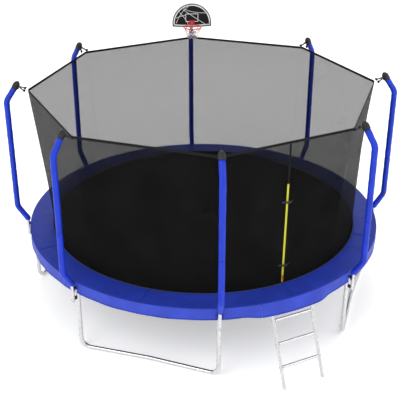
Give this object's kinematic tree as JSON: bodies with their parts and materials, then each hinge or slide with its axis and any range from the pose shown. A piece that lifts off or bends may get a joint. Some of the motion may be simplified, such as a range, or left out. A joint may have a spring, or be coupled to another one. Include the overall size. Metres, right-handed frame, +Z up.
{
  "type": "backyard trampoline",
  "caption": "Round backyard trampoline with padded ring, pole-held safety net and zip door, ladder and small basketball hoop on one pole.",
  "frame": {"origin": "centre of the footprint, on the ground under the middle of the mat", "axes": "+Z up; +Y towards the pole that carries the hoop; the ladder and net door are at the front, right of the -Y pole"},
  "size_m": [4.6636, 4.7313, 3.0179],
  "materials": {
    "galvanised_steel": "galvanised, satin",
    "zinc_steel": "zinc plated, satin",
    "black_plastic": "moulded, fine texture",
    "black_webbing": "woven webbing, sewn",
    "blue_foam_cover": "coated fabric over foam",
    "blue_pad_cover": "coated fabric over foam, low sheen",
    "black_mat_fabric": "woven, matt",
    "black_net": "knitted mesh, see-through",
    "yellow_zip_tape": "woven tape with coil teeth",
    "dark_metal": "painted",
    "orange_plastic": "moulded",
    "black_board": "printed panel",
    "grey_trim": "flexible moulding",
    "red_paint": "powder coated",
    "hoop_net_cord": "knotted cord, white and red",
    "grey_paint": "powder coated"
  },
  "bodies": {
    "frame": {"buckle_socket_lower": "black_plastic", "buckle_socket_tabs": "black_webbing", "buckle_socket_upper": "black_plastic", "cap_screws": "black_plastic", "enclosure_pole_1": "galvanised_steel", "enclosure_pole_2": "galvanised_steel", "enclosure_pole_3": "galvanised_steel", "enclosure_pole_4": "galvanised_steel", "enclosure_pole_5": "galvanised_steel", "enclosure_pole_6": "galvanised_steel", "enclosure_pole_7": "galvanised_steel", "enclosure_pole_8": "galvanised_steel", "foam_sleeves_lower": "blue_foam_cover", "foam_sleeves_upper": "blue_foam_cover", "hoop_backboard": "black_board", "hoop_board_trim": "grey_trim", "hoop_bolts": "zinc_steel", "hoop_bracket": "grey_paint", "hoop_net": "hoop_net_cord", "hoop_rim": "red_paint", "leg_base_1": "galvanised_steel", "leg_base_2": "galvanised_steel", "leg_base_3": "galvanised_steel", "leg_base_4": "galvanised_steel", "leg_screws": "zinc_steel", "leg_uprights": "galvanised_steel", "net_hem": "black_webbing", "net_seam_tape": "black_webbing", "net_straps": "black_webbing", "net_top_webbing": "black_webbing", "pad_flap": "blue_pad_cover", "pole_bolts": "zinc_steel", "pole_caps": "black_plastic", "pole_plugs": "black_plastic", "pole_spacers": "black_plastic", "rail_tees": "galvanised_steel", "safety_net": "black_net", "safety_pad": "blue_pad_cover", "springs": "zinc_steel", "top_rails": "galvanised_steel", "zip_tape": "yellow_zip_tape"},
    "jumping_mat": {"mat": "black_mat_fabric", "mat_ring_tabs": "black_webbing", "mat_rings": "zinc_steel"},
    "ladder": {"ladder_rail_left": "galvanised_steel", "ladder_rail_right": "galvanised_steel", "ladder_rung_1": "galvanised_steel", "ladder_rung_2": "galvanised_steel", "ladder_rung_3": "galvanised_steel", "ladder_hooks": "zinc_steel", "ladder_bolts": "zinc_steel"},
    "zip_runner": {"zip_slider": "dark_metal"},
    "zip_puller": {"zip_pull": "orange_plastic"},
    "buckle_lower": {"buckle_tongue_lower": "black_plastic"},
    "buckle_upper": {"buckle_tongue_upper": "black_plastic"},
    "knob_lower": {"clamp_knob_lower": "black_plastic"},
    "knob_upper": {"clamp_knob_upper": "black_plastic"}
  },
  "joints": [
    {"name": "mat_bounce", "type": "slide", "parent": "frame", "child": "jumping_mat", "axis": [0, 0, 1], "range_m": [-0.25, 0], "stiffness_N_per_m": 5000, "springref_m": 0.0224, "deforming": ["springs"]},
    {"name": "ladder_swing", "type": "hinge", "parent": "frame", "child": "ladder", "pos_m": [0.7672, -1.95766, 0.87], "axis": [-0.9311, -0.3649, 0], "range_deg": [0, 45], "deforming": ["pad_flap"]},
    {"name": "zip_slide", "type": "slide", "parent": "frame", "child": "zip_runner", "axis": [0.0069, -0.0163, 0.9998], "range_m": [0, 1.09]},
    {"name": "zip_pull_swing", "type": "hinge", "parent": "zip_runner", "child": "zip_puller", "pos_m": [0.72455, -1.71526, 0.98379], "axis": [-0.9212, -0.3891, 0], "range_deg": [0, 150]},
    {"name": "buckle_release_lower", "type": "slide", "parent": "frame", "child": "buckle_lower", "axis": [-0.9212, -0.3891, 0], "range_m": [0, 0.03]},
    {"name": "buckle_release_upper", "type": "slide", "parent": "frame", "child": "buckle_upper", "axis": [-0.9212, -0.3891, 0], "range_m": [0, 0.03]},
    {"name": "clamp_knob_lower_turn", "type": "hinge", "parent": "frame", "child": "knob_lower", "pos_m": [0.045, 2.22569, 2.52265], "axis": [1, 0, 0], "continuous": true},
    {"name": "clamp_knob_upper_turn", "type": "hinge", "parent": "frame", "child": "knob_upper", "pos_m": [0.045, 2.18605, 2.58034], "axis": [1, 0, 0], "continuous": true}
  ]
}
